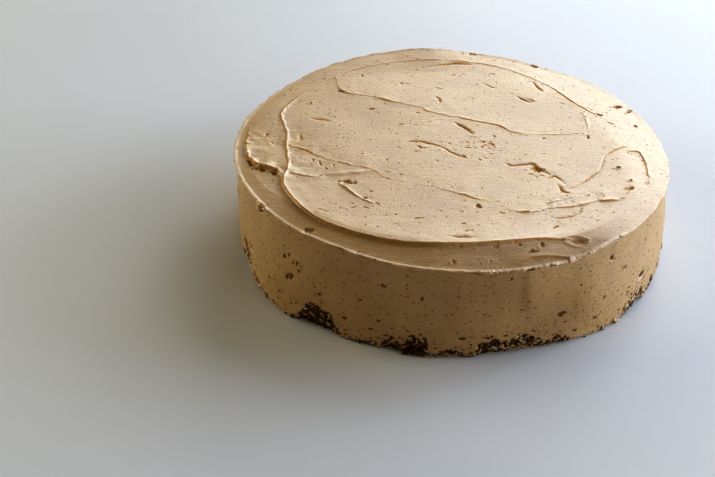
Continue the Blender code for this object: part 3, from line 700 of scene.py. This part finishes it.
def dents_at(spots):
    """For each dent: the spots near it, its depth and painted shade there and how far they are from its edge.
    """
    level = np.column_stack([spots, np.zeros(len(spots))])
    uneven = 0.7 * mottle(level, 1.6 * mm, 31) + 0.5 * mottle(level, 0.8 * mm, 32)
    for torn, dents in ALL_DENTS:
        for at_x, at_y, long, wide, turn, depth in dents:
            a = radians(turn)
            dx, dy = spots[:, 0] - at_x * mm, spots[:, 1] - at_y * mm
            few = np.flatnonzero(dx * dx + dy * dy < ((3 * max(long, wide) + 2) * mm) ** 2)
            u = (dx[few] * cos(a) + dy[few] * sin(a)) / (long * mm)
            v = (dy[few] * cos(a) - dx[few] * sin(a)) / (wide * mm)
            across = np.sqrt(u * u + v * v)
            share = ease((1.4 - across - torn * uneven[few]) / (1.1 - 0.5 * torn))
            share = share - 0.35 * np.exp(-(((across - 1.6) * min(long, wide) / 0.5) ** 2)) * (torn < 0.3)
            # The dent's painted shade, stronger where it is more torn
            dark = (0.45 + 0.55 * torn) * np.maximum(share, 0)
            yield few, depth * mm * share, dark, (across - 1.4) * min(long, wide) * mm


def nearness(spots):
    """The distance from each spot to the nearest line or dent."""
    near = np.full(len(spots), 1.0)
    for _, line, along in SWEEP_LINES + CREASE_LINES:
        few = round_about(line, spots, REFINE[0][0])
        near[few] = np.minimum(near[few], np.abs(beside(line, along, spots[few])[0]))
    for few, _, _, distance in dents_at(spots):
        near[few] = np.minimum(near[few], np.maximum(distance, 0))
    return near


def top_relief(spots):
    """The top's height inside the lip, and at each spot, 0 to 1, the painted shade of its hollows and the
    front band's painted shade and drag marks.
    """
    x, y = spots.T
    level = np.column_stack([spots, np.zeros(len(spots))])
    angle = angles_of(level)
    rim_radius = around(RIM, angle) * mm
    width = around(BORDER, angle, blur=8) * mm
    reach = np.maximum(np.hypot(x, y), mm)
    outward = rim_radius / reach
    drop = lid(x * outward, y * outward) - around(RIM, angle, 2) * mm
    share = np.clip((reach - rim_radius + width) / width, 0, 1)
    height = lid(x, y) - drop * share**BORDER_BEND
    height += ROLL_HEIGHT * roll(spots, ROLL_SCALE, 1.0) * (1 - share)
    height -= LIP_HEIGHT * around(LIP_RISE, angle) * ease((reach - rim_radius + 7 * mm) / (3.6 * mm))
    hollow_shade = np.zeros(len(spots))
    torn_x = mottle(level, 2.1 * mm, 41) + 0.5 * mottle(level, 0.9 * mm, 42)
    torn_y = mottle(level, 2.1 * mm, 43) + 0.5 * mottle(level, 0.9 * mm, 44)
    patchy = mottle(level, 4.5 * mm, 45)
    broken = np.clip(0.6 + 1.1 * mottle(level, 7 * mm, 48) + 0.7 * mottle(level, 2.4 * mm, 49), 0.1, 1.4)
    for torn, line, along in SWEEP_LINES:
        shaken = spots + 0.7 * mm * torn * np.column_stack([torn_x, torn_y])
        distance, step = beside(line, along, shaken)
        gaps = torn * np.clip(0.95 - broken, 0, 0.85) * ease(1.6 - step / mm)
        step = step * (1 + 0.45 * torn * patchy) * (1 - gaps)
        ridge = LIP_HIGH * np.clip(step / (0.5 * mm), 0, 1) * (1 + 1.2 * torn * torn_x)
        high = step * np.exp(-distance / RUN_OUT) + ridge * np.exp(-((distance / LIP_WIDTH) ** 2))
        fall = ease(-distance / (CLIFF + 0.15 * step))
        foot = np.minimum(distance, 0)
        low = (step * (1 - FOOT_SHARE) + ridge) * (1 - fall) + FOOT_SHARE * step * np.exp(foot / FOOT_WIDTH)
        height += np.where(distance >= 0, high, low)
        # Painted shade at the foot of each step, where the higher icing shades the lower
        dark_width = (0.9 - 0.35 * ease(step / mm - 0.5)) * mm
        dark = np.exp(foot / dark_width) * ease(0.25 - distance / (0.25 * mm))
        dark *= np.clip(step / (0.2 * mm), 0, 1) * np.clip(2 * torn, 1, 1.3) * (1 - torn + torn * broken)
        hollow_shade = np.maximum(hollow_shade, np.minimum(dark, 0.75 + 0.2 * ease(step / mm - 0.6)))
    shaken = spots + 0.4 * mm * np.column_stack([torn_x, torn_y])
    for width, line, along in CREASE_LINES:
        few = round_about(line, spots, 4 * width + mm)
        distance, lift = beside(line, along, shaken[few])
        lift = lift * (1 + 0.5 * patchy[few]) * np.exp(-((distance / width) ** 2))
        height[few] += lift
        # Scored lines get painted shade in their grooves
        hollow_shade[few] = np.maximum(hollow_shade[few], np.clip(-lift / (0.5 * mm), 0, 1))
    for few, depth, dark, _ in dents_at(spots):
        height[few] -= depth
        # Dents get painted shade inside them
        hollow_shade[few] = np.maximum(hollow_shade[few], dark)
    drag = np.column_stack([x * cos(0.4) - y * sin(0.4), (x * sin(0.4) + y * cos(0.4)) * 3.5, 0 * x])
    height += 0.03 * mm * mottle(drag, 8 * mm, 46) + 0.035 * mm * mottle(level, 2.6 * mm, 47)
    # The band along the front and left of the border gets painted shade, where it lies in the raised round's
    # shadow and slopes away from the light; it also carries drag marks in the bump
    band_shade_and_drags = ease((share - 0.08) / 0.12) * ease((angle - 190) / 12) * ease((328 - angle) / 30)
    return height, np.clip(hollow_shade, 0, 1), band_shade_and_drags


def edge_of(angle):
    return around(RIM, angle) * mm - LIP_IN


bm = bmesh.new()
bmesh.ops.create_grid(bm, x_segments=TOP_CELLS, y_segments=TOP_CELLS, size=1)
for point in bm.verts:
    x, y, _ = point.co
    point.co.xy = x * (1 - y * y / 2) ** 0.5, y * (1 - x * x / 2) ** 0.5
    angle = np.degrees(np.arctan2(point.co.y, point.co.x)) % 360
    point.co.xy *= float(edge_of(angle))
for line_reach, rim_reach in REFINE:
    faces = list(bm.faces)
    middles = np.array([face.calc_center_median().xy[:] for face in faces])
    angle = angles_of(middles)
    chosen = nearness(middles) < line_reach
    chosen |= edge_of(angle) - np.hypot(*middles.T) < rim_reach
    edges = {edge for face, pick in zip(faces, chosen) if pick for edge in face.edges}
    bmesh.ops.subdivide_edges(bm, edges=list(edges), cuts=1, use_grid_fill=True)
loop = [edge for edge in bm.edges if edge.is_boundary]
for point in {point for edge in loop for point in edge.verts}:
    angle = np.degrees(np.arctan2(point.co.y, point.co.x)) % 360
    point.co.xy *= float(edge_of(angle)) / point.co.xy.length
for ring in range(1, len(LIP) + 3):
    loop = grow(bm, loop, -ring * mm)
bmesh.ops.contextual_create(bm, geom=loop)
bmesh.ops.recalc_face_normals(bm, faces=bm.faces)
top = stand_for(bm, "icing_top", "icing")
points = read_points(top.data)
ring = np.round(-points[:, 2] / mm).astype(int)
angle = angles_of(points)
relief, top_hollow_shade, band_shade_and_drags = top_relief(points[:, :2])
crest = around(RIM, angle, 2) * mm
here = on_ring(angle, SIDE_RADIUS, 0 * angle)
ragged = mottle(here, 3.4 * mm, 51) * 0.6 + mottle(here, 1.4 * mm, 52) * 0.45
ragged += mottle(here, 9 * mm, 53) * 0.4
reach_out = around(RIM, angle) * mm + LIP_RAGGED * (ring_roll(angle, 2.6, 2.2) + ragged)
drip = ease(1.3 - np.abs(angle - DRIP[0]) / DRIP[1])
thick = LIP_THICK * (1 + 0.5 * ragged) + drip * (crest - DRIP[2] - LIP_THICK)
z = relief.copy()
radius = np.hypot(points[:, 0], points[:, 1])
for number, (out, rise, down) in enumerate(LIP, 1):
    now = ring == number
    level = crest - down * thick
    wall = side_radius(angle[now], level[now]) + 0.7 * mm * drip[now]
    outer = reach_out[now] * (1 - drip[now] * down) + wall * drip[now] * down
    inner = edge_of(angle[now])
    radius[now] = inner + (outer - inner) * out
    high = LIP_CREST * around(LIP_RISE, angle[now]) * mm * rise * (1 + 1.1 * ragged[now])
    lip_top = relief[now] + (crest[now] - relief[now]) * rise + high
    z[now] = np.where(down == 0, lip_top, level[now] + high)
under = ring == len(LIP) + 1
radius[under] = (around(RIM, angle) * mm - 7 * mm)[under]
z[under] = (crest - 5 * mm)[under]
floor_ring = ring == len(LIP) + 2
radius[floor_ring] = (around(RIM, angle) * mm - 12 * mm)[floor_ring]
on = on_ring(angle, radius, z)
z[floor_ring] = (lid(on[:, 0], on[:, 1]) - TOP_COAT + 0.4 * mm)[floor_ring]
write_points(top.data, on_ring(angle, radius, z))
top.data.shade_smooth()
# The painted shade of the top's hollows, and the front band's painted shade and drag marks, go to the shader
for name, share in (("hollow_shade", top_hollow_shade), ("band_shade_and_drags", band_shade_and_drags)):
    layer = top.data.attributes.new(name, "FLOAT", "POINT")
    layer.data.foreach_set("value", np.where(ring == 0, share, 0).astype(np.float32))


# Painted shade: the darker, browner colour of the band along the front and left of the border
BAND_SHADE = (0.340, 0.180, 0.035, 1)


def dragged_pores(coat):
    """Round pores and short dashes that lie along the knife's way."""
    flat = (0.8, 0.8, 0.02)
    fine_dots = coat.dots(2.4 * mm, 0.36 * mm, 0.8 * mm, coat.ruffled(1.2 * mm, 1.2 * mm, flat)) * 0.7
    pinholes = coat.dots(6.0 * mm, 0.35 * mm, 1.1 * mm, coat.ruffled(1.0 * mm, 2 * mm, flat)) * 0.4
    dashes = coat.dots(5 * mm, 0.3 * mm, 0.8 * mm, coat.ruffled(3 * mm, 3 * mm, (0.35, 1, 0.02))) * 0.6
    return fine_dots + pinholes + dashes * coat.between(0.4, 0.6, coat.speckle(24 * mm))


coat, colour, fine, bubbles, cloud, dull_and_shaded = icing_finish("top_buttercream", 1.0 * mm, dragged_pores, TOP_HOLLOW_SHADE)
coat.shader.inputs["Coat IOR"].default_value = 2.0
streaks = coat.speckle(2.2 * mm, 2, {"Rotation": (0, 0, radians(20)), "Scale": (0.3, 1, 0.02)}, 0.6)
drags = coat.speckle(1.5 * mm, 3, {"Rotation": (0, 0, radians(-35)), "Scale": (0.2, 1, 0.02)}, 0.6)
band_shade_and_drags = coat.attribute("band_shade_and_drags")
# The band's painted shade darkens its colour and takes off some sheen; its drag marks go into the bump
colour = coat.blend(band_shade_and_drags * (0.45 + 0.6 * coat.between(0.3, 0.7, drags)), colour, BAND_SHADE)
coat.finish(top, colour, 0.47 + 0.12 * cloud, 1.2 * fine + 0.7 * streaks + 1.0 * band_shade_and_drags * drags - bubbles,
            0.4 * mm, 0.93 * (1 - dull_and_shaded) * (1 - 0.6 * band_shade_and_drags))


# Crumbs, curls and flakes: crumbs that the knife tore loose lie along the foot, small curls of buttercream
# stand up along the torn hem, and flakes of it on the lip.
CRUMBS = 420
HEM_CURLS = 700
# Flakes on the lip: angle, how far out and up from the rim, and half size, in millimetres
LIP_FLAKES = (
    (275.4, 0.1, -0.1, 0.9), (276.6, 0.3, -0.3, 0.8), (277.8, 0.2, -0.2, 1.0), (279.2, 0.2, -0.2, 0.8),
    (280.4, 0.1, -0.1, 0.7), (290.9, 0.0, 0.2, 0.8), (292.6, 0.1, 0.3, 1.0), (293.6, 0.3, 0.2, 1.1),
    (303.3, 0.0, 0.2, 0.9), (216.8, 2.6, -0.9, 1.7), (215.6, 1.4, 0.2, 1.6), (218.4, 1.2, -0.2, 1.8),
    (216.6, 0.9, 0.6, 1.6), (262.0, 0.0, 0.1, 0.6), (258.4, 0.0, 0.0, 0.7), (266.8, 0.1, 0.0, 0.6),
    (271.5, 0.0, 0.1, 0.7), (247.0, 0.1, 0.0, 0.7), (241.5, 0.1, 0.0, 0.6), (313.6, 0.0, 0.0, 0.8),
    (318.0, 0.1, 0.0, 0.6), (203.0, 0.2, -0.3, 0.8), (197.0, 0.2, -0.2, 0.7),
)
# Lumps of icing that stand out low on the side: angle, height, how far out and half size, in millimetres
SIDE_LUMPS = (
    (193.0, 36.0, 0.3, 1.4), (194.5, 34.5, 0.1, 1.0), (196.0, 12.5, 0.2, 1.6), (198.5, 9.0, 0.6, 1.9),
    (200.5, 6.5, 0.8, 1.6), (203.5, 4.0, 0.6, 1.7), (207.5, 3.0, 0.6, 1.4), (211.0, 2.6, 0.8, 1.5),
    (216.0, 1.8, 0.6, 1.2), (221.0, 1.6, 0.5, 1.0), (309.0, 1.6, 0.6, 1.3), (313.5, 2.0, 0.8, 1.4),
    (317.0, 4.0, 0.4, 1.8),
    (319.5, 6.5, 0.2, 1.6), (327.0, 2.2, 0.6, 1.3), (334.0, 3.4, 0.7, 1.5), (340.0, 5.0, 0.5, 1.5),
    (346.5, 7.0, 0.5, 1.6), (352.0, 4.0, 0.5, 1.4), (20.0, 3.0, 0.5, 1.4), (78.0, 2.5, 0.5, 1.5),
    (135.0, 3.0, 0.5, 1.4),
)
chance = np.random.default_rng(29)


def add_lump(bm, angle, radius, z, sizes, uneven, turn):
    """One small uneven lump. Its sizes are its half width round the cake, half depth and half height."""
    a = radians(angle)
    place = Matrix.Translation((radius * cos(a), radius * sin(a), z)) @ Matrix.Rotation(a - pi / 2, 4, "Z")
    place = place @ Matrix.Rotation(turn, 4, "Y") @ Matrix.Diagonal((*sizes, 1))
    for point in bmesh.ops.create_icosphere(bm, subdivisions=2, radius=1, matrix=place)["verts"]:
        middle = place.translation
        point.co = middle + (point.co - middle) * (1 + uneven * noise.noise(point.co / (0.55 * mm)))
        point.co.z = max(point.co.z, 0.2 * mm)


crumbs = bmesh.new()
curls = bmesh.new()
flakes = bmesh.new()
spread = np.array([wide * high for _, wide, high in BARE_PATCHES])
patch = chance.choice(len(BARE_PATCHES), CRUMBS, p=spread / spread.sum())
at, wide, high = np.array(BARE_PATCHES)[patch].T
angles = (at + 0.6 * wide * chance.normal(size=CRUMBS)) % 360
sizes = (0.25 + 0.55 * chance.random(CRUMBS) ** 2) * mm
heights = np.maximum(0.4 * mm, (0.3 + 0.65 * chance.random(CRUMBS)) * bare_height(angles) * mm)
for angle, z, radius, size in zip(angles, heights, side_radius(angles, heights), sizes):
    add_lump(crumbs, angle, radius - 0.35 * size, z, (size, 0.7 * size, 0.8 * size), 0.9,
             chance.random() * pi)
for _ in range(26):
    angle = LOOSE_CRUMB[0] + 0.7 * LOOSE_CRUMB[1] * chance.normal()
    size = (0.5 + 0.7 * chance.random()) * mm
    out = float(sponge_radius(angle, 0)) + LOOSE_CRUMB[2] * (0.2 + 0.9 * chance.random())
    add_lump(crumbs, angle, out, size * 0.7 + 1.6 * mm * chance.random(), (size, size, 0.8 * size), 0.9, 0)
angles = 360 * chance.random(HEM_CURLS)
bare = bare_height(angles)
angles = angles[chance.random(HEM_CURLS) < 0.15 + bare / 3]
bare = bare_height(angles)
heights = hem_height(angles) + (0.4 + 0.5 * bare * chance.random(len(angles)) ** 2) * mm
sizes = (0.35 + 0.6 * chance.random(len(angles)) ** 2) * mm
for angle, z, radius, size in zip(angles, heights, side_radius(angles, heights), sizes):
    add_lump(curls, angle, radius, max(z, 0.6 * mm), (1.6 * size, 0.5 * size, 0.45 * size), 0.8,
             chance.normal() * 0.7)
for angle, z, out, size in SIDE_LUMPS:
    radius = float(side_radius(angle, np.array([z * mm]))[0]) + (out - 0.5) * mm
    for _ in range(3):
        add_lump(curls, angle + 0.6 * chance.normal(), radius, (z + 0.6 * size * chance.normal()) * mm,
                 (1.3 * size * mm, 0.45 * size * mm, 0.5 * size * mm), 0.9, chance.normal())
for angle, out, up, size in LIP_FLAKES:
    radius = float(around(RIM, angle)) + out - 0.5
    add_lump(flakes, angle, radius * mm, (float(around(RIM, angle, 2)) + up + 0.2) * mm,
             (1.3 * size * mm, 0.8 * size * mm, 0.45 * size * mm), 0.8, chance.normal() * 0.3)
loose_crumbs = make_piece(crumbs, "loose_crumbs")
loose_crumbs.data.shade_smooth()
loose_crumbs.data.materials.append(sponge.data.materials[0])
icing_curls = make_piece(curls, "icing_curls")
icing_curls.data.shade_smooth()
icing_curls.data.materials.append(side.data.materials[0])
lip_flakes = make_piece(flakes, "lip_flakes")
lip_flakes.data.shade_smooth()
lip_flakes.data.materials.append(top.data.materials[0])


# The floor: a plain pale surface that the cake stands on, and soft light from a window at the back right.
floor_mesh = bpy.data.meshes.new("floor")
bm = bmesh.new()
bmesh.ops.create_grid(bm, x_segments=2, y_segments=2, size=3)
bm.to_mesh(floor_mesh)
bm.free()
floor = bpy.data.objects.new("floor", floor_mesh)
bpy.context.scene.collection.objects.link(floor)
ground = Finish("pale_floor", 0.3)
ground.finish(floor, ground.blend(ground.speckle(0.2, 3), (0.56, 0.54, 0.51, 1), (0.62, 0.60, 0.57, 1)),
              0.6, ground.speckle(4 * mm), 0.05 * mm)

LIGHTS = (
    # name, azimuth, elevation, distance, size, power, colour
    ("window", 12, 11, 1.7, 1.2, 45, (0.87, 1.11, 1.60)),
    ("next_window", 75, 11, 1.7, 1.2, 22, (1.0, 1.05, 1.07)),
    ("sky", 50, 40, 1.7, 1.2, 16, (0.96, 1.06, 1.24)),
    ("left_wall", 165, 15, 1.7, 1.2, 25, (1.0, 0.95, 0.72)),
    ("room", 330, 25, 1.7, 1.2, 12.5, (1.0, 0.97, 0.88)),
    ("near_wall", 240, 25, 1.7, 1.2, 2.5, (1.0, 0.88, 0.55)),
)
for name, azimuth, elevation, distance, size, power, colour in LIGHTS:
    light = bpy.data.lights.new(name, "AREA")
    light.shape = "SQUARE"
    light.size = size
    light.energy = power
    light.color = colour
    lamp = bpy.data.objects.new(name, light)
    a, e = radians(azimuth), radians(elevation)
    away = Vector((cos(e) * cos(a), cos(e) * sin(a), sin(e)))
    facing = away.to_track_quat("Z", "Y").to_matrix().to_4x4()
    lamp.matrix_world = Matrix.Translation(away * distance) @ facing
    bpy.context.scene.collection.objects.link(lamp)
world = bpy.data.worlds.new("studio")
world.use_nodes = True
world.node_tree.nodes["Background"].inputs["Color"].default_value = (1.0, 0.95, 0.85, 1)
world.node_tree.nodes["Background"].inputs["Strength"].default_value = 0.02
bpy.context.scene.world = world
bpy.context.scene.view_settings.view_transform = "Standard"
bpy.context.scene.view_settings.gamma = 0.76

# The camera: where the photograph was taken from, looking down at the cake from the front
FOCAL_PIXELS = 1280
FRAME_PIXELS = 715
CAMERA_AT = Vector((-19.16, -591.91, 390.95)) * mm
PAN, PITCH, TILT = radians(-3.0725), radians(34.05), radians(-0.9675)
view = bpy.data.cameras.new("camera")
view.sensor_width = 36
view.lens = FOCAL_PIXELS / FRAME_PIXELS * view.sensor_width
camera = bpy.data.objects.new("camera", view)
camera.matrix_world = (
    Matrix.Translation(CAMERA_AT) @ Matrix.Rotation(-PAN, 4, "Z")
    @ Matrix.Rotation(pi / 2 - PITCH, 4, "X") @ Matrix.Rotation(TILT, 4, "Z")
)
bpy.context.scene.collection.objects.link(camera)
bpy.context.scene.camera = camera
